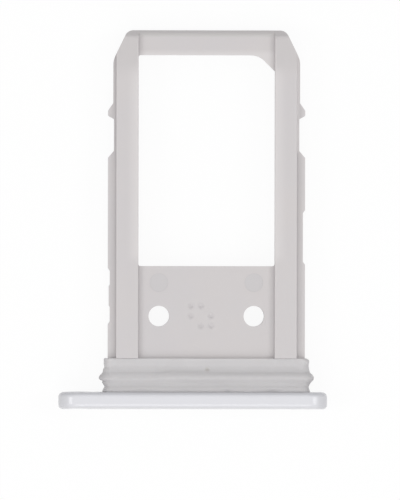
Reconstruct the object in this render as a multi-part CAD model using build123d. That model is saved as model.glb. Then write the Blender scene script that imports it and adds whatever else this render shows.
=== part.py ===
from build123d import *
from math import radians, sqrt, tan
import os

# A SIM card tray for one nano card, lying with its contact side up and its card pocket
# underneath. Y points the way the tray is pushed in, X runs along the face cap and Z is up.
# The origin is the middle of the footprint, on the surface that the cap's edge lies on.
# All lengths are in millimetres.

# The nano card, the play it has in the pocket, and the cut corner that keys it
CARD_LENGTH = 12.30
CARD_WIDTH = 8.80
CARD_THICKNESS = 0.67
CARD_CORNER_CUT = 1.65
CARD_CLEARANCE = 0.05
CARD_HEADROOM = 0.03
POCKET_CORNER_RADIUS = 0.60

# The window through the pocket's floor, whose ledges hold the card by its rim
SIDE_LEDGE = 0.60
END_LEDGE = 0.24
KEY_LEDGE = 0.05
WINDOW_CORNER_RADIUS = 0.12
KEY_BLEND_RADIUS = 1.10

# The frame's plan: a waist beside the card, wider guides behind it, a tapered tip
SIDE_WALL = 0.825
GUIDE_RISE = 0.295
TIP_BAR = 1.41
TIP_TAPER_LENGTH = 1.68
TIP_TAPER_INSET = 0.82
TIP_CORNER_RADIUS = 0.50
TAPER_BLEND_RADIUS = 1.10
PLATE_LENGTH = 5.21
OUTLINE_RADIUS = 0.05

# The snap detents on both sides and the notch behind each
DETENT_FROM_TIP = 4.12
DETENT_RAMP = 0.42
DETENT_CREST = 0.30
DETENT_RETURN = 0.18
DETENT_RADIUS = 0.12
NOTCH_LENGTH = 1.80
NOTCH_DEPTH = 0.04
NOTCH_CHAMFER = 0.39

# Shallow reliefs in the guide edges, measured forward from the shoulder at the seal
RELIEF_RAMP = 0.18
RIGHT_RELIEF_START = 5.29
RIGHT_RELIEF_LENGTH = 3.10
RIGHT_RELIEF_DEPTH = 0.12
GATE_RELIEF_START = 1.90
GATE_RELIEF_LENGTH = 3.20
GATE_RELIEF_DEPTH = 0.11
GATE_PAD_START = 2.80
GATE_PAD_LENGTH = 1.45
GATE_PAD_RISE = 0.06

# Heights of the moulded section
LEDGE_THICKNESS = 0.55
CHANNEL_DEPTH = 0.30
GUIDE_STEP = 0.32
GUIDE_LEDGE = 0.46
RAIL_EDGE_RADIUS = 0.05
LEAD_IN_ANGLE = 60
LEAD_IN_DROP = 0.63
LEAD_IN_RADIUS = 0.26

# Holes and moulding marks in the plate, measured forward from the shoulder
HOLE_DIAMETER = 1.17
HOLE_SPACING = 5.37
HOLE_FROM_SHOULDER = 2.38
PIN_MARK_DIAMETER = 1.04
PIN_MARK_DEPTH = 0.02
PIN_MARK_FROM_SHOULDER = 4.28
DOT_DIAMETER = 0.32
DOT_DEPTH = 0.06
DOT_PITCH = 0.565
DOT_GRID_OFFSET = 0.31
DOT_CELLS = [(-1, 1), (0, 1), (-1, 0), (1, 0), (0, -1), (1, -1)]

# The silicone seal: a plain band, a rising heel, a round-nosed lip, a valley and a flared end.
# The lip's rise is to the meeting point of its two slopes, before the nose is rounded.
SEAL_LENGTH = 1.91
SEAL_WALL = 0.355
BAND_EDGE_RADIUS = 0.05
VALLEY_RADIUS = 0.10
BAND_LENGTH = 0.46
HEEL_LENGTH = 0.33
HEEL_RISE = 0.075
HEEL_RADIUS = 0.60
LIP_FRONT = 0.28
LIP_BACK = 0.31
LIP_RISE = 0.366
LIP_NOSE_RADIUS = 0.19
LIP_FOOT_RISE = 0.083
VALLEY_FALL = 0.22
VALLEY_DIP = 0.01
FLARE_RISE = 0.10
SOFT_CORNER_RADIUS = 0.03
NECK_STEP = 0.135
NECK_CORNER_RADIUS = 0.12

# The face cap, with its eject-pin hole in its rounded left end
CAP_HEIGHT = 2.25
CAP_THICKNESS = 0.97
CAP_FRONT_RADIUS = 0.25
CAP_CROWN = 0.13
CAP_REAR_RADIUS = 0.30
CAP_OVERHANG = 1.275
CAP_LIP_MARGIN = 0.14
EJECT_HOLE_DIAMETER = 1.08
EJECT_HOLE_CHAMFER = 0.05
EJECT_HOLE_FROM_END = 1.07
EJECT_HOLE_FROM_FRAME = 1.715
TENON_LENGTH = 0.50
BOND_LINE = 0.02

# How far a cutting shape runs past the faces that it cuts
OVERRUN = 0.50

# Widths across the tray
pocket_width = CARD_WIDTH + 2 * CARD_CLEARANCE
window_width = pocket_width - 2 * SIDE_LEDGE
waist_width = pocket_width + 2 * SIDE_WALL
notch_width = waist_width - 2 * NOTCH_DEPTH
frame_width = waist_width + 2 * GUIDE_RISE
tip_width = waist_width - 2 * TIP_TAPER_INSET
rail_span = frame_width - 2 * GUIDE_LEDGE
neck_width = frame_width - 2 * NECK_STEP
cap_length = EJECT_HOLE_FROM_END + EJECT_HOLE_FROM_FRAME + frame_width + CAP_OVERHANG
eject_x = EJECT_HOLE_FROM_END - cap_length / 2
frame_x = eject_x + EJECT_HOLE_FROM_FRAME + frame_width / 2

# Stations along the tray, from the tip back to the cap's face
pocket_length = CARD_LENGTH + 2 * CARD_CLEARANCE
window_length = pocket_length - 2 * END_LEDGE
frame_length = TIP_BAR + window_length + PLATE_LENGTH
tip_y = (frame_length + SEAL_LENGTH + CAP_THICKNESS) / 2
window_y = tip_y - TIP_BAR - window_length / 2
shoulder_y = tip_y - frame_length
cap_rear_y = shoulder_y - SEAL_LENGTH

# Levels, with the frame and the seal centred on the cap's height
mid_z = CAP_HEIGHT / 2
pocket_depth = CARD_THICKNESS + CARD_HEADROOM
frame_height = pocket_depth + LEDGE_THICKNESS
frame_z = mid_z - frame_height / 2
pocket_z = frame_z + pocket_depth
rail_z = frame_z + frame_height
channel_z = rail_z - CHANNEL_DEPTH
guide_z = rail_z - GUIDE_STEP
neck_height = CAP_HEIGHT - 2 * (CAP_LIP_MARGIN + LIP_RISE + SEAL_WALL)

# The pocket's key wall stands off the card's cut edge by the same play as the other walls,
# and the window's key edge overhangs that wall by its own ledge
pocket_key_leg = CARD_CORNER_CUT + (2 - sqrt(2)) * CARD_CLEARANCE
window_key_leg = pocket_key_leg + sqrt(2) * KEY_LEDGE - SIDE_LEDGE - END_LEDGE


def edge_relief(side, start, length, depth):
    """A shallow cut with ramped ends in the right (+1) or left (-1) guide edge."""
    edge = frame_x + side * frame_width / 2
    outer = edge + side * depth
    inner = edge - side * depth
    low = shoulder_y + start
    high = low + length
    return make_face(
        Polyline(
            (outer, low - RELIEF_RAMP),
            (inner, low + RELIEF_RAMP),
            (inner, high - RELIEF_RAMP),
            (outer, high + RELIEF_RAMP),
            close=True,
        )
    )


def gate_pad():
    """The low pad left by the moulding gate, on the floor of the left relief."""
    floor = frame_x - frame_width / 2 + GATE_RELIEF_DEPTH
    low = shoulder_y + GATE_PAD_START
    high = low + GATE_PAD_LENGTH
    return make_face(
        Polyline(
            (floor + GATE_PAD_RISE, low),
            (floor - GATE_PAD_RISE, low + RELIEF_RAMP),
            (floor - GATE_PAD_RISE, high - RELIEF_RAMP),
            (floor + GATE_PAD_RISE, high),
            close=True,
        )
    )


def frame_plan():
    """The frame's outline from above: tapered tip, detents, notches, guides and reliefs."""
    crest = DETENT_FROM_TIP + DETENT_RAMP
    crest_end = crest + DETENT_CREST
    notch = crest_end + DETENT_RETURN
    notch_end = notch + NOTCH_LENGTH
    side = [
        (tip_width / 2, 0, TIP_CORNER_RADIUS),
        (waist_width / 2, TIP_TAPER_LENGTH, TAPER_BLEND_RADIUS),
        (waist_width / 2, DETENT_FROM_TIP, DETENT_RADIUS),
        (frame_width / 2, crest, DETENT_RADIUS),
        (frame_width / 2, crest_end, DETENT_RADIUS),
        (notch_width / 2, notch, OUTLINE_RADIUS),
        (notch_width / 2, notch_end, OUTLINE_RADIUS),
        (frame_width / 2, notch_end + NOTCH_CHAMFER, OUTLINE_RADIUS),
        (frame_width / 2, frame_length, OUTLINE_RADIUS),
    ]
    corners = [(-x, back, radius) for x, back, radius in side] + side[::-1]
    points = [(frame_x + x, tip_y - back) for x, back, radius in corners]
    plan = make_face(FilletPolyline(points, radius=[radius for x, back, radius in corners], close=True))
    plan -= edge_relief(1, RIGHT_RELIEF_START, RIGHT_RELIEF_LENGTH, RIGHT_RELIEF_DEPTH)
    plan -= edge_relief(-1, GATE_RELIEF_START, GATE_RELIEF_LENGTH, GATE_RELIEF_DEPTH)
    return plan + gate_pad()


def frame_section():
    """The section across the tray: a flat base, two rails and the channel between them."""
    side = [
        (frame_width / 2 + OVERRUN, frame_z, 0),
        (frame_width / 2 + OVERRUN, guide_z, 0),
        (rail_span / 2, guide_z, 0),
        (rail_span / 2, rail_z, RAIL_EDGE_RADIUS),
        (window_width / 2, rail_z, RAIL_EDGE_RADIUS),
        (window_width / 2, channel_z, 0),
    ]
    corners = side + [(-x, z, radius) for x, z, radius in side[::-1]]
    points = [(frame_x + x, z) for x, z, radius in corners]
    return make_face(FilletPolyline(points, radius=[radius for x, z, radius in corners], close=True))


def keyed_opening(width, length, key_leg, corner_radius, key_radius):
    """A rounded rectangle over the card, its right corner at the tip cut at 45 degrees."""
    x = width / 2
    y = length / 2
    points = [(-x, -y), (x, -y), (x, y - key_leg), (x - key_leg, y), (-x, y)]
    radii = [corner_radius, corner_radius, 0, key_radius, corner_radius]
    return Pos(frame_x, window_y) * make_face(FilletPolyline(points, radius=radii, close=True))


def prism(face, bottom, top):
    """A plan face raised from one level to another."""
    return extrude(Pos(0, 0, bottom) * face, amount=top - bottom)


def across(section, front, length):
    """A section drawn in X and Z, carried back towards the cap from a station in Y."""
    return extrude(Plane.XZ.offset(-front) * section, amount=length)


def neck_section(growth):
    """The neck's rounded section, grown all round by a clearance."""
    shape = RectangleRounded(neck_width + 2 * growth, neck_height + 2 * growth, NECK_CORNER_RADIUS + growth)
    return Pos(frame_x, mid_z) * shape


def tip_lead_in(level, width):
    """What the bevel takes off the tip over a width whose top, at the level, it meets in a round."""
    low = rail_z - LEAD_IN_DROP
    start = tip_y - (level - low) / tan(radians(LEAD_IN_ANGLE))
    beyond = tip_y + OVERRUN
    above = rail_z + OVERRUN
    behind = start - OVERRUN
    points = [(tip_y, low), (start, level), (behind, level), (behind, above), (beyond, above), (beyond, low)]
    bevel = make_face(FilletPolyline(points, radius=[0, LEAD_IN_RADIUS, 0, 0, 0, 0], close=True))
    return extrude(Plane.YZ.offset(frame_x) * bevel, amount=width / 2, both=True)


def make_tray_frame():
    """The moulded frame: section and plan crossed, then the card pocket, window and plate marks."""
    section = across(frame_section(), tip_y + OVERRUN, frame_length + 2 * OVERRUN)
    body = section & prism(frame_plan(), frame_z - OVERRUN, rail_z + OVERRUN)
    body -= tip_lead_in(rail_z, frame_width)
    body -= tip_lead_in(channel_z, window_width)
    pocket = keyed_opening(pocket_width, pocket_length, pocket_key_leg, POCKET_CORNER_RADIUS, 0)
    body -= prism(pocket, frame_z - OVERRUN, pocket_z)
    key_radius = min(KEY_BLEND_RADIUS, 2 * window_key_leg)
    window = keyed_opening(window_width, window_length, window_key_leg, WINDOW_CORNER_RADIUS, key_radius)
    body -= prism(window, frame_z - OVERRUN, rail_z + OVERRUN)

    for side in (-1, 1):
        column = Pos(frame_x + side * HOLE_SPACING / 2, shoulder_y)
        hole = column * Pos(0, HOLE_FROM_SHOULDER) * Circle(HOLE_DIAMETER / 2)
        body -= prism(hole, frame_z - OVERRUN, rail_z)
        pin_mark = column * Pos(0, PIN_MARK_FROM_SHOULDER) * Circle(PIN_MARK_DIAMETER / 2)
        body -= prism(pin_mark, channel_z - PIN_MARK_DEPTH, rail_z)

    # Each dot is a shallow cone, drawn at twice its size with its middle on the plate
    dot_grid = Pos(frame_x - DOT_GRID_OFFSET, shoulder_y + HOLE_FROM_SHOULDER)
    for column, row in DOT_CELLS:
        point = Cone(0, DOT_DIAMETER, 2 * DOT_DEPTH)
        body -= dot_grid * Pos(column * DOT_PITCH, row * DOT_PITCH, channel_z) * point

    return body + across(neck_section(0), shoulder_y, SEAL_LENGTH + TENON_LENGTH)


def seal_profile():
    """The gasket's section: x runs back from the shoulder, y rises from the neck."""
    lip_foot = BAND_LENGTH + HEEL_LENGTH
    nose = lip_foot + LIP_FRONT
    back_foot = nose + LIP_BACK
    valley = back_foot + VALLEY_FALL
    corners = [
        (0, 0, 0),
        (SEAL_LENGTH, 0, 0),
        (SEAL_LENGTH, SEAL_WALL + FLARE_RISE, SOFT_CORNER_RADIUS),
        (valley, SEAL_WALL - VALLEY_DIP, VALLEY_RADIUS),
        (back_foot, SEAL_WALL + LIP_FOOT_RISE, VALLEY_RADIUS),
        (nose, SEAL_WALL + LIP_RISE, LIP_NOSE_RADIUS),
        (lip_foot, SEAL_WALL + HEEL_RISE, SOFT_CORNER_RADIUS),
        (BAND_LENGTH, SEAL_WALL, HEEL_RADIUS),
        (0, SEAL_WALL, BAND_EDGE_RADIUS),
    ]
    points = [(back, rise) for back, rise, radius in corners]
    return make_face(FilletPolyline(points, radius=[radius for back, rise, radius in corners], close=True))


def make_seal_ring():
    """The gasket: its section run along the neck's four sides and turned about its four corners."""
    section = seal_profile()
    run_x = neck_width - 2 * NECK_CORNER_RADIUS
    run_z = neck_height - 2 * NECK_CORNER_RADIUS
    top = Plane((run_x / 2, 0, neck_height / 2), x_dir=(0, -1, 0), z_dir=(-1, 0, 0)) * section
    left = Plane((-neck_width / 2, 0, run_z / 2), x_dir=(0, -1, 0), z_dir=(0, 0, -1)) * section
    upper_turn = Axis((-run_x / 2, 0, run_z / 2), (0, -1, 0))
    lower_turn = Axis((-run_x / 2, 0, -run_z / 2), (0, -1, 0))
    half = (
        extrude(top, amount=run_x)
        + revolve(Pos(-run_x, 0, 0) * top, axis=upper_turn, revolution_arc=90)
        + extrude(left, amount=run_z)
        + revolve(Pos(0, 0, -run_z) * left, axis=lower_turn, revolution_arc=90)
    )
    return Pos(frame_x, shoulder_y, mid_z) * (half + Rot(0, 180, 0) * half)


def make_face_cap():
    """The stadium cap: crowned face, softened edges, eject-pin hole and blind mortise for the neck."""
    cap = across(Pos(0, mid_z) * SlotOverall(cap_length, CAP_HEIGHT), cap_rear_y, CAP_THICKNESS)
    crown_radius = (CAP_HEIGHT**2 / 4 + CAP_CROWN**2) / (2 * CAP_CROWN)
    crown_y = cap_rear_y - CAP_THICKNESS + crown_radius
    cap &= Pos(0, crown_y, mid_z) * Rot(0, 90, 0) * Cylinder(crown_radius, cap_length + OVERRUN)
    cap = fillet(cap.faces().sort_by(Axis.Y)[0].edges(), CAP_FRONT_RADIUS)
    cap = fillet(cap.faces().sort_by(Axis.Y)[-1].edges(), CAP_REAR_RADIUS)
    eject_hole = Pos(eject_x, mid_z) * Circle(EJECT_HOLE_DIAMETER / 2)
    cap -= across(eject_hole, cap_rear_y, CAP_THICKNESS)
    hole_mouth = cap.faces().sort_by(Axis.Y)[0].inner_wires()[0]
    cap = chamfer(hole_mouth.edges(), EJECT_HOLE_CHAMFER)
    return cap - across(neck_section(BOND_LINE), cap_rear_y, TENON_LENGTH + BOND_LINE)


os.makedirs("parts", exist_ok=True)
export_step(make_tray_frame(), "parts/tray_frame.step")
export_step(make_seal_ring(), "parts/seal_ring.step")
export_step(make_face_cap(), "parts/face_cap.step")
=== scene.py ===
import bpy
import numpy as np
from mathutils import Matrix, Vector


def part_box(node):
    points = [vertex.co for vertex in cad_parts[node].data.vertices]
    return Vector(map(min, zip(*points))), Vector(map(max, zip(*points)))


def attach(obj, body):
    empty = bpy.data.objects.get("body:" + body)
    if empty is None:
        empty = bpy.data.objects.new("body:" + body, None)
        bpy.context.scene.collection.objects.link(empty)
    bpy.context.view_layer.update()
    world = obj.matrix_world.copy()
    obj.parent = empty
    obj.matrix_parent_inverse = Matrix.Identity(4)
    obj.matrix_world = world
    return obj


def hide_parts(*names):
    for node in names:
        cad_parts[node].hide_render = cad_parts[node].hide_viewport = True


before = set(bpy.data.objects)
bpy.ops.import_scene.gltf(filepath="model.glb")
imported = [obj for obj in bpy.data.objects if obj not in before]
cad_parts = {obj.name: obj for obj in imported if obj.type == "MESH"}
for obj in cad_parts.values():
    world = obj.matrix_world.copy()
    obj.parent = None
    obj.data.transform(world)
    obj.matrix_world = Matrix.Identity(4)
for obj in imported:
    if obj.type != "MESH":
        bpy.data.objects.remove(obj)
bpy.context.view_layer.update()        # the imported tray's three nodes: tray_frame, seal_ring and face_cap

# Tray frame: one injection moulding in pale grey engineering plastic, with rails, recessed plate
# and bar, side guides and the neck in one piece. Its mould was spark eroded, which leaves a fine
# matt skin. The thin ledges that hold the card let some light through beside the window, and that
# light is painted into the colour, as is shade in the corners, the dots, the bevel and the tip.
MM = 0.001                                    # sizes below are in millimetres
WINDOW_MIDDLE = 0.755
WINDOW_HALF_WIDTH = 3.85
WINDOW_TIP_EDGE = 9.30
WINDOW_PLATE_EDGE = -2.62
PAINTED_GLOW_REACH = 0.75
PAINTED_GLOW_BAR_SQUEEZE = 2.0                        # the glow reaches half as far over the bar
RAIL_EDGE_BLEND = 0.08
TIP_SHADE_ENDS = [(7.9, 9.0), (10.4, 10.2)]     # where it starts and is full, from either end
BEVEL_SHADE = (10.44, 0.17, 0.03)                # middle, then how far off it is gone and is full
PLATE_TOP = 1.45
PIN_MARKS = [(-1.93, -3.55, PLATE_TOP), (3.44, -3.55, PLATE_TOP)]
PIN_MARK_EDGE = (0.5512, 0.4888)              # how far off it is gone and is full
DOT_MIDDLE = (0.445, -5.45)
DOT_PITCH = 0.565
DOT_CELLS = [(-1, 1), (0, 1), (-1, 0), (1, 0), (0, -1), (1, -1)]
DOT_SHADE_EDGE = (0.288, 0.048)
CORNER_SHADE_REACH = 0.25
# the painted corner shade is full at the first openness and gone at the second
CORNER_SHADE_OPENNESS = (0.45, 0.85)                  # how open a corner is where dust is full and is gone
PALE_CORNER_ENDS = {"X": (5.65, 5.75), "Y": (3.7, 4.0)}
FLOW_SIZE = 3.0
GRAIN_SIZE = 0.15
SHARE, UNDER, OVER, MIXED = 0, 6, 7, 2        # a colour mix's sockets, whose names are not unique


def linear(code):
    """An sRGB hex colour as linear RGBA: the sRGB curve is undone channel by channel."""
    channels = np.array([int(code[i:i + 2], 16) for i in (1, 3, 5)]) / 255
    straight = np.where(channels <= 0.04045, channels / 12.92, ((channels + 0.055) / 1.055) ** 2.4)
    return (*straight.tolist(), 1.0)


def add(tree, kind, inputs=None, **settings):
    """Adds a node: settings are its own properties, and an input takes a value or a socket."""
    made = tree.nodes.new("ShaderNode" + kind)
    for name, value in settings.items():
        setattr(made, name, value)
    for name, value in (inputs or {}).items():
        if isinstance(value, bpy.types.NodeSocket):
            tree.links.new(value, made.inputs[name])
        else:
            made.inputs[name].default_value = value
    return made


def new_material(name):
    """An empty node material with its output node."""
    material = bpy.data.materials.new(name)
    material.use_nodes = True
    material.node_tree.nodes.clear()
    return material, material.node_tree, add(material.node_tree, "OutputMaterial")


def closeness(tree, value, middle, far, near):
    """How close a value is to a middle: 0 further off than far, 1 within near, smooth between."""
    off = add(tree, "Math", {0: value, 1: middle * MM}, operation="SUBTRACT")
    off = add(tree, "Math", {0: off.outputs[0]}, operation="ABSOLUTE")
    share = add(tree, "MapRange", {
        "Value": off.outputs[0], "From Min": far * MM, "From Max": near * MM,
    }, interpolation_type="SMOOTHSTEP")
    return share.outputs["Result"]


def spots(tree, place, centres, far, near):
    """How close a place is to the nearest of some points, by the smallest of the distances to each:
    0 further off than far, 1 within near, smooth between."""
    nearest = 1.0
    for centre in centres:
        away = add(tree, "VectorMath", {0: place, 1: Vector(centre) * MM}, operation="DISTANCE")
        least = add(tree, "Math", {0: nearest, 1: away.outputs["Value"]}, operation="MINIMUM")
        nearest = least.outputs[0]
    share = add(tree, "MapRange", {
        "Value": nearest, "From Min": far * MM, "From Max": near * MM,
    }, interpolation_type="SMOOTHSTEP")
    return share.outputs["Result"]


def dress(piece, material):
    """Gives a piece this one material in its only slot."""
    piece.data.materials.clear()
    piece.data.materials.append(material)


# Spark-eroded moulded plastic: even, slightly warm grey, no gloss, a faint cloudiness from the flow
plastic, tree, output = new_material("moulded_plastic_fine_matt")
place = add(tree, "TexCoord").outputs["Object"]
axis = add(tree, "SeparateXYZ", {0: place})
flow = add(tree, "TexNoise", {"Vector": place, "Scale": 1 / (FLOW_SIZE * MM), "Detail": 3.0})
# Painted light: the ledges beside the window, from the card pocket's edge to the window's edge,
# are painted paler for the light that comes through them
aside = add(tree, "Math", {0: axis.outputs["X"], 1: WINDOW_MIDDLE * MM}, operation="SUBTRACT")
aside = add(tree, "Math", {0: aside.outputs[0]}, operation="ABSOLUTE")
aside = add(tree, "Math", {0: aside.outputs[0], 1: WINDOW_HALF_WIDTH * MM}, operation="SUBTRACT")
beyond = add(tree, "Math", {
    0: axis.outputs["Y"], 1: PAINTED_GLOW_BAR_SQUEEZE, 2: -PAINTED_GLOW_BAR_SQUEEZE * WINDOW_TIP_EDGE * MM,
}, operation="MULTIPLY_ADD")
outside = add(tree, "Math", {0: aside.outputs[0], 1: beyond.outputs[0]}, operation="MAXIMUM")
near_window = add(tree, "MapRange", {
    "Value": outside.outputs[0], "From Min": PAINTED_GLOW_REACH * MM, "From Max": 0.0,
}, interpolation_type="SMOOTHSTEP")
past_plate = add(tree, "MapRange", {
    "Value": axis.outputs["Y"],
    "From Min": WINDOW_PLATE_EDGE * MM,
    "From Max": (WINDOW_PLATE_EDGE + PAINTED_GLOW_REACH) * MM,
}, interpolation_type="SMOOTHSTEP")
painted_ledge_glow = add(tree, "Math", {
    0: near_window.outputs["Result"], 1: past_plate.outputs["Result"],
}, operation="MULTIPLY")
# Painted shade: the rails' corners at the tip, thicker with no ledge under them, are painted greyer
over_rail = add(tree, "MapRange", {
    "Value": aside.outputs[0], "From Min": 0.0, "From Max": RAIL_EDGE_BLEND * MM,
})
painted_tip_shade = over_rail.outputs["Result"]
for start, full in TIP_SHADE_ENDS:
    inside = add(tree, "MapRange", {
        "Value": axis.outputs["Y"], "From Min": start * MM, "From Max": full * MM,
    }, interpolation_type="SMOOTHSTEP")
    both = add(tree, "Math", {0: painted_tip_shade, 1: inside.outputs["Result"]}, operation="MULTIPLY")
    painted_tip_shade = both.outputs[0]
# Painted shade: the round over the bar's bevel, which faces the tip, is painted greyer
painted_bevel_shade = add(tree, "Math", {
    0: closeness(tree, axis.outputs["Y"], *BEVEL_SHADE), 1: over_rail.outputs["Result"],
}, operation="SUBTRACT", use_clamp=True)
# The ends of the ejector pins leave two discs a shade greyer, and painted shade darkens the dots,
# which are shallow pits
discs = spots(tree, place, PIN_MARKS, *PIN_MARK_EDGE)
painted_dot_shade = spots(tree, place, [
    (DOT_MIDDLE[0] + column * DOT_PITCH, DOT_MIDDLE[1] + row * DOT_PITCH, PLATE_TOP)
    for column, row in DOT_CELLS
], *DOT_SHADE_EDGE)
# Painted shade: the sharp inner corners are painted darker over about their last tenth of a
# millimetre, the more closed in they are
hollow = add(tree, "AmbientOcclusion", {"Distance": CORNER_SHADE_REACH * MM}, samples=8, only_local=True)
painted_corner_shade = add(tree, "MapRange", {
    "Value": hollow.outputs["AO"], "From Min": CORNER_SHADE_OPENNESS[0], "From Max": CORNER_SHADE_OPENNESS[1],
    "To Min": 1.0, "To Max": 0.0,
})
# Painted light: at the right guide's narrow end, the inner corner is painted pale instead of shaded
painted_pale_corner = 1.0
for name, (start, full) in PALE_CORNER_ENDS.items():
    inside = add(tree, "MapRange", {
        "Value": axis.outputs[name], "From Min": start * MM, "From Max": full * MM,
    })
    both = add(tree, "Math", {0: painted_pale_corner, 1: inside.outputs["Result"]}, operation="MULTIPLY")
    painted_pale_corner = both.outputs[0]
corner_shade_tone = add(tree, "Mix", {
    SHARE: painted_pale_corner, UNDER: linear("#bebabb"), OVER: linear("#e2dede"),
}, data_type="RGBA")
# Each tone hides its share of those before it
tint = linear("#cbc8ca")
for share, tone in (
    (flow.outputs["Fac"], linear("#d0cbca")),
    (painted_ledge_glow.outputs[0], linear("#d7d3d3")),
    (painted_tip_shade, linear("#c9c5c5")),
    (painted_bevel_shade.outputs[0], linear("#c7c4c3")),
    (discs, linear("#cac7c8")),
    (painted_dot_shade, linear("#c6c2c3")),
    (painted_corner_shade.outputs["Result"], corner_shade_tone.outputs[MIXED]),
):
    mixed = add(tree, "Mix", {SHARE: share, UNDER: tint, OVER: tone}, data_type="RGBA")
    tint = mixed.outputs[MIXED]
# The eroded skin's grain is about 0.02 mm, too fine for the picture, so it is drawn at 0.15 mm
grain = add(tree, "TexNoise", {"Vector": place, "Scale": 1 / (GRAIN_SIZE * MM), "Detail": 2.0})
matt = add(tree, "MapRange", {"Value": grain.outputs["Fac"], "To Min": 0.5, "To Max": 0.64})
skin = add(tree, "Bump", {"Height": grain.outputs["Fac"], "Strength": 0.12, "Distance": 0.01 * MM})
shader = add(tree, "BsdfPrincipled", {
    "Base Color": tint,
    "Roughness": matt.outputs["Result"],
    "IOR": 1.55,
    "Subsurface Weight": 0.15,
    "Subsurface Radius": (1.0, 0.97, 0.94),
    "Subsurface Scale": 0.2 * MM,
    "Normal": skin.outputs["Normal"],
})
tree.links.new(shader.outputs["BSDF"], output.inputs["Surface"])
dress(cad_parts["tray_frame"], plastic)

# Seal: one grey silicone gasket, compression moulded and stretched over the neck behind the cap.
# It has a plain band, a soft lip that wipes the slot and a flared end against the cap. Its skin is
# a little uneven, with a dent, a fold under the lip and a tear that trimming left.
NECK = (10.87, 0.528)
NECK_CORNER = 0.12
SEAL_LENGTH = 1.91
BAND_RISE = 0.355
# The section's corners: distance behind the frame's shoulder, rise above the neck, radius
SECTION = np.array([
    (0.00, 0.000, 0.00), (SEAL_LENGTH, 0.000, 0.00), (SEAL_LENGTH, 0.455, 0.03),
    (1.60, 0.345, 0.10), (1.38, 0.438, 0.10), (1.07, 0.721, 0.19),
    (0.79, 0.430, 0.03), (0.46, BAND_RISE, 0.60), (0.00, BAND_RISE, 0.05),
])
ARC_POINTS = 12
SECTION_POINTS = 150
AROUND_STEP = 0.075
NICK_X = 0.80
NICK_BACK = 0.63
NICK_DROP = 0.28                              # below the lip's crest
NICK_TONE_EDGE = (0.20, 0.02)
# Swellings and dips of the skin: its side, how far it rises, its middle and spread behind the
# shoulder and, for one that isn't as long as its side, its middle and spread along the cap
HUMPS = [
    ("top", -0.055, NICK_BACK, 0.07, NICK_X, 0.09),     # the dent
    ("top", 0.062, 0.82, 0.15),                         # the lip's foot and the valley are full
    ("top", 0.060, 1.66, 0.17),
    ("top", 0.060, 1.43, 0.17, 4.00, 1.50),             # two fuller stretches behind the lip
    ("top", 0.045, 1.43, 0.17, -1.10, 0.90),
    ("top", -0.040, 1.86, 0.10, -2.70, 0.60),           # three dips in the rim at the cap
    ("top", -0.080, 1.86, 0.10, 1.93, 0.25),
    ("top", -0.080, 1.86, 0.10, 4.48, 0.40),
    ("left", -0.090, 1.29, 0.04),                       # the tear
    ("left", -0.040, 0.49, 0.09),                       # the left end is thinner
    ("left", -0.040, 0.92, 0.14),
    ("left", -0.040, 1.60, 0.10),
    ("right", 0.035, 0.20, 0.12),                       # the right end is fuller
    ("right", 0.030, 1.30, 0.20),
]
FOLD_PLACES = [-2.0, -1.6, 0.8, 1.3]                    # along the cap
FOLD_RISES = [0.0, 0.034, 0.030, 0.0]
FOLD_BACK = 0.815
FOLD_SPREAD = 0.08
FOLD_WANDER = 0.025
SQUASH_PLACES = [-2.2, -1.6]                            # the lip is lower to the left of these
SQUASH_RISES = [-0.080, 0.0]
SQUASH_BACK = 1.03
SQUASH_SPREAD = 0.22
BLUNT_DROP = 0.140                                      # of the band's corner at the right
BLUNT_REACH = 0.12
UNEVEN_RISE = 0.010
UNEVEN_BACK = 0.012
LIP_BACK = 1.22
LIP_SHADE_EDGE = (0.62, 0.35)
BLOOM_SIZE = 1.2
RIPPLE_SIZE = 0.4


def filleted(corners):
    """A closed outline through corners (x, y, radius): each corner is an arc tangent to both its
    sides, a rational parabola weighted by the sine of half its angle, and all is spaced evenly."""
    point, radius = corners[:, :2], corners[:, 2:]
    sides = [np.roll(point, turn, axis=0) - point for turn in (1, -1)]
    last, next_ = (side / np.linalg.norm(side, axis=1, keepdims=True) for side in sides)
    half = np.arccos((last * next_).sum(1, keepdims=True)) / 2
    start, end = (point + side * radius / np.tan(half) for side in (last, next_))
    t = np.linspace(0, 1, ARC_POINTS)[:, None, None]
    weight = 2 * t * (1 - t) * np.sin(half)
    arcs = ((1 - t) ** 2 * start + weight * point + t ** 2 * end) / ((1 - t) ** 2 + weight + t ** 2)
    outline = arcs.transpose(1, 0, 2).reshape(-1, 2)
    outline = np.vstack([outline, outline[:1]])
    run = np.r_[0, np.cumsum(np.linalg.norm(np.diff(outline, axis=0), axis=1))]
    at = np.linspace(0, run[-1], SECTION_POINTS, endpoint=False)
    return np.interp(at, run, outline[:, 0]), np.interp(at, run, outline[:, 1])


def round_the_neck():
    """Points evenly round the neck's rounded section: how far round, the point's corner centre,
    which runs along the straight sides, and the outward angle, which turns at the corners."""
    centre_x = np.array([-1, 1, 1, 1, 1, -1, -1, -1, -1]) * (NECK[0] / 2 - NECK_CORNER)
    centre_z = np.array([1, 1, 1, -1, -1, -1, -1, 1, 1]) * (NECK[1] / 2 - NECK_CORNER)
    angle = np.radians([90, 90, 0, 0, -90, -90, -180, -180, -270])
    turned = (NECK_CORNER + BAND_RISE) * np.abs(np.diff(angle))
    run = np.r_[0, np.cumsum(np.abs(np.diff(centre_x)) + np.abs(np.diff(centre_z)) + turned)]
    at = np.linspace(0, run[-1], int(run[-1] / AROUND_STEP), endpoint=False)
    courses = [np.interp(at, run, course) for course in (centre_x, centre_z, angle)]
    return [value[:, None] for value in (at / run[-1], *courses)]


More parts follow.
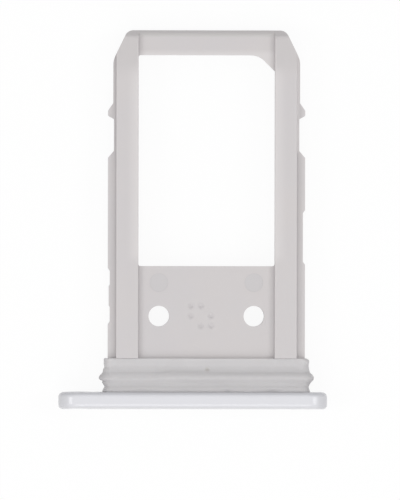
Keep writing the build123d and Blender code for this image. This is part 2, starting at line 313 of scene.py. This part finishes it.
def wander(around, slowest, quickest, seed):
    """A closed wave of height 1: seeded sines of whole turns round the ring, quick ones weaker."""
    turns = np.arange(slowest, quickest)
    phase = np.random.default_rng(seed).uniform(0, 2 * np.pi, turns.size)
    wave = (np.sin(2 * np.pi * turns * around + phase) / np.sqrt(turns)).sum(1, keepdims=True)
    return wave / np.abs(wave).max()


def bell(value, middle, spread):
    """A hump of height 1: e to the minus square of the distance from the middle over the spread."""
    return np.exp(-((value - middle) / spread) ** 2)


def closed_mesh(name, points):
    """Quads on a grid of points that joins up both ways, shaded smooth."""
    index = np.arange(points.shape[0] * points.shape[1]).reshape(points.shape[:2])
    ahead = np.roll(index, -1, axis=0)
    corners = [index, ahead, np.roll(ahead, -1, axis=1), np.roll(index, -1, axis=1)]
    faces = np.stack(corners, axis=2).reshape(-1, 4)
    mesh = bpy.data.meshes.new(name)
    mesh.from_pydata(points.reshape(-1, 3).tolist(), [], faces.tolist())
    mesh.polygons.foreach_set("use_smooth", np.ones(len(faces), dtype=bool))
    piece = bpy.data.objects.new(name, mesh)
    bpy.context.scene.collection.objects.link(piece)
    return piece


seal_low, seal_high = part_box("seal_ring")
seal_middle = (seal_low + seal_high) / 2 / MM
around, centre_x, centre_z, angle = round_the_neck()
back, rise = filleted(SECTION)
along_cap = centre_x + seal_middle.x
facing = {
    side: np.clip(share, 0, 1)
    for side, share in (("top", np.sin(angle)), ("right", np.cos(angle)), ("left", -np.cos(angle)))
}
free = np.sin(np.pi * back / SEAL_LENGTH)
fold_line = FOLD_BACK + FOLD_WANDER * wander(around, slowest=5, quickest=60, seed=5)
fold = np.interp(along_cap, FOLD_PLACES, FOLD_RISES) * bell(back, fold_line, FOLD_SPREAD)
squash = np.interp(along_cap, SQUASH_PLACES, SQUASH_RISES) * bell(back, SQUASH_BACK, SQUASH_SPREAD)
blunt = BLUNT_DROP * np.clip(1 - back / BLUNT_REACH, 0, 1) ** 2
uneven = UNEVEN_RISE * wander(around, slowest=6, quickest=60, seed=3) * free
lift = uneven + facing["top"] * (fold + squash) - facing["right"] * blunt
for side, height, middle, spread, *stretch in HUMPS:
    hump = height * facing[side] * bell(back, middle, spread)
    lift = lift + (hump * bell(along_cap, *stretch) if stretch else hump)
rise = rise + np.clip(rise / BAND_RISE, 0, 1) * lift
back = back + UNEVEN_BACK * wander(around, slowest=4, quickest=50, seed=8) * free
reach = NECK_CORNER + rise
seal = closed_mesh("seal_skin", MM * np.stack([
    seal_middle.x + centre_x + reach * np.cos(angle),
    seal_high.y / MM - back,
    seal_middle.z + centre_z + reach * np.sin(angle),
], axis=2))
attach(seal, "root")
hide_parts("seal_ring")

# Moulded silicone: soft satin grey that light enters a little way, with low waves in its skin
silicone, tree, output = new_material("moulded_silicone_satin")
place = add(tree, "TexCoord").outputs["Object"]
axis = add(tree, "SeparateXYZ", {0: place})
bloom = add(tree, "TexNoise", {"Vector": place, "Scale": 1 / (BLOOM_SIZE * MM), "Detail": 3.0})
# Painted shade: the lip and the valley behind it are painted greyer than the rest, where the cap
# shades them
painted_lip_shade = closeness(tree, axis.outputs["Y"], seal_high.y / MM - LIP_BACK, *LIP_SHADE_EDGE)
# The dent is painted darker
nick = (NICK_X, seal_high.y / MM - NICK_BACK, seal_high.z / MM - NICK_DROP)
dent_tone = spots(tree, place, [nick], *NICK_TONE_EDGE)
tint = linear("#cccacb")
for share, tone in (
    (bloom.outputs["Fac"], linear("#d1cfd0")),
    (painted_lip_shade, linear("#c8c6c7")),
    (dent_tone, linear("#c2bfbc")),
):
    mixed = add(tree, "Mix", {SHARE: share, UNDER: tint, OVER: tone}, data_type="RGBA")
    tint = mixed.outputs[MIXED]
ripple = add(tree, "TexNoise", {"Vector": place, "Scale": 1 / (RIPPLE_SIZE * MM), "Detail": 2.0})
wave = add(tree, "Bump", {"Height": ripple.outputs["Fac"], "Strength": 0.15, "Distance": 0.03 * MM})
shader = add(tree, "BsdfPrincipled", {
    "Base Color": tint,
    "Roughness": 0.55,
    "IOR": 1.42,
    "Subsurface Weight": 0.6,
    "Subsurface Radius": (1.0, 0.96, 0.93),
    "Subsurface Scale": 0.25 * MM,
    "Normal": wave.outputs["Normal"],
})
tree.links.new(shader.outputs["BSDF"], output.inputs["Surface"])
dress(seal, silicone)

# Face cap: the outer cap in the phone's finish, milled from aluminium bar with a crowned face and
# rounded ends, drilled for the eject pin, sprayed and bonded on the end of the neck.
END_INSET = 0.20
END_SHADE_EDGE = (0.46, 0.25)
REAR_INSET = 0.10
REAR_SHADE_EDGE = (0.14, 0.02)
FLAKE_SIZE = 0.1
PEEL_SIZE = 0.6
cap_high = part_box("face_cap")[1] / MM

# Pearl white paint: bluish white under a satin clear coat with a little orange peel. Its flake is
# about 0.02 mm, too fine for the picture, so it is drawn at 0.1 mm
paint, tree, output = new_material("pearl_white_paint_satin_gloss")
place = add(tree, "TexCoord").outputs["Object"]
axis = add(tree, "SeparateXYZ", {0: place})
pearl = add(tree, "TexNoise", {"Vector": place, "Scale": 1 / (FLAKE_SIZE * MM), "Detail": 1.0})
# Painted shade: the rounded ends and the rear edge, which turn away from the light, are painted a
# shade greyer
sideways = add(tree, "Math", {0: axis.outputs["X"]}, operation="ABSOLUTE")
painted_end_shade = closeness(tree, sideways.outputs[0], cap_high.x - END_INSET, *END_SHADE_EDGE)
painted_rear_shade = closeness(tree, axis.outputs["Y"], cap_high.y - REAR_INSET, *REAR_SHADE_EDGE)
tint = linear("#dedee3")
for share, tone in (
    (pearl.outputs["Fac"], linear("#e0e0e4")),
    (painted_end_shade, linear("#d9d9dd")),
    (painted_rear_shade, linear("#d0d0d5")),
):
    mixed = add(tree, "Mix", {SHARE: share, UNDER: tint, OVER: tone}, data_type="RGBA")
    tint = mixed.outputs[MIXED]
peel = add(tree, "TexNoise", {"Vector": place, "Scale": 1 / (PEEL_SIZE * MM), "Detail": 1.0})
swells = add(tree, "Bump", {"Height": peel.outputs["Fac"], "Strength": 0.04, "Distance": 0.01 * MM})
shader = add(tree, "BsdfPrincipled", {
    "Base Color": tint,
    "Roughness": 0.4,
    "IOR": 1.5,
    "Specular IOR Level": 0.2,
    "Coat Weight": 0.6,
    "Coat Roughness": 0.12,
    "Coat IOR": 1.5,
    "Normal": swells.outputs["Normal"],
})
tree.links.new(shader.outputs["BSDF"], output.inputs["Surface"])
dress(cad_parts["face_cap"], paint)

# Floor: a plain sheet under the tray, part of the studio and not of the tray. It shows white to the
# camera and in reflections, keeps a light part of the tray's shadow, and throws back the light of a
# pale grey one, so the tray's lower edges stay a little darker.
FLOOR_SIZE = 0.6                              # in metres, as are the lamps below
SHADOW_SHARE = 0.07
WHITE = (1, 1, 1, 1)


def looked_at(tree):
    """1 for what the camera sees, also in a reflection or through a clear piece, otherwise 0."""
    paths = add(tree, "LightPath")
    seen = paths.outputs["Is Camera Ray"]
    for ray in ("Is Glossy Ray", "Is Transmission Ray"):
        seen = add(tree, "Math", {0: seen, 1: paths.outputs[ray]}, operation="MAXIMUM").outputs[0]
    return seen


corner = FLOOR_SIZE / 2
sheet = bpy.data.meshes.new("floor")
sheet.from_pydata(
    [(-corner, -corner, 0), (corner, -corner, 0), (corner, corner, 0), (-corner, corner, 0)],
    [], [(0, 1, 2, 3)],
)
floor = bpy.data.objects.new("floor", sheet)
bpy.context.scene.collection.objects.link(floor)
white, tree, output = new_material("white_sheet")
seen = looked_at(tree)
veil = add(tree, "Math", {0: seen, 1: 1 - SHADOW_SHARE}, operation="MULTIPLY")
shade = add(tree, "Mix", {
    SHARE: seen, UNDER: linear("#c8c8c8"), OVER: linear("#fafafa"),
}, data_type="RGBA")
paper = add(tree, "BsdfDiffuse", {"Color": shade.outputs[MIXED]})
shine = add(tree, "Emission", {"Color": WHITE, "Strength": 1.0})
blend = add(tree, "MixShader", {0: veil.outputs[0], 1: paper.outputs[0], 2: shine.outputs[0]})
tree.links.new(blend.outputs[0], output.inputs["Surface"])
dress(floor, white)

# Light: an even white tent with soft lamps at the left, the right and, the tallest, the front.
# The one beyond the tip is weak, so slopes that face the tip stay darker, as on the real one.
TENT_LEVEL = 0.55
LAMP_DISTANCE = 0.30
SIDE_SIZE = (0.10, 0.10)
FRONT_SIZE = (0.14, 0.25)
LAMPS = [                                     # name, direction from the tray, watts, size
    ("left", (-1, -0.2, 1), 0.16, SIDE_SIZE),
    ("right", (1, 0.1, 1), 0.16, SIDE_SIZE),
    ("front", (0, -0.9, 1), 0.23, FRONT_SIZE),
    ("tip", (0, 1.2, 1), 0.05, SIDE_SIZE),
]
world = bpy.data.worlds.new("tent")
world.use_nodes = True
bpy.context.scene.world = world
tree = world.node_tree
tree.nodes.clear()
level = add(tree, "MapRange", {"Value": looked_at(tree), "To Min": TENT_LEVEL, "To Max": 1.0})
sky = add(tree, "Background", {"Color": WHITE, "Strength": level.outputs["Result"]})
add(tree, "OutputWorld", {"Surface": sky.outputs[0]})
for name, direction, power, size in LAMPS:
    lamp = bpy.data.lights.new("lamp_" + name, "AREA")
    lamp.shape = "RECTANGLE"
    lamp.size, lamp.size_y = size
    lamp.energy = power
    stand = bpy.data.objects.new("lamp_" + name, lamp)
    stand.location = Vector(direction).normalized() * LAMP_DISTANCE
    stand.rotation_euler = Vector(direction).to_track_quat("Z", "Y").to_euler()
    bpy.context.scene.collection.objects.link(stand)

# Camera: a long lens almost straight above the tray, leaning a little to the left,
# with the tray turned a fraction of a degree in the picture.
VIEW_MIDDLE = (0.39, -1.722, 1.4)
VIEW_HEIGHT = 28.25
SENSOR = 36.0
CAMERA_DISTANCE = 400.0
NEAREST_SEEN = 10.0
LEAN = np.radians(1.0)
TURN = np.radians(0.10)
lens = bpy.data.cameras.new("camera")
lens.sensor_width = SENSOR
lens.lens = SENSOR * CAMERA_DISTANCE / VIEW_HEIGHT
lens.clip_start = NEAREST_SEEN * MM
camera = bpy.data.objects.new("camera", lens)
towards = Vector((-np.sin(LEAN), 0, np.cos(LEAN)))
camera.location = MM * (Vector(VIEW_MIDDLE) + CAMERA_DISTANCE * towards)
camera.rotation_euler = (0, -LEAN, TURN)
bpy.context.scene.collection.objects.link(camera)
bpy.context.scene.camera = camera
bpy.context.scene.view_settings.view_transform = "Standard"
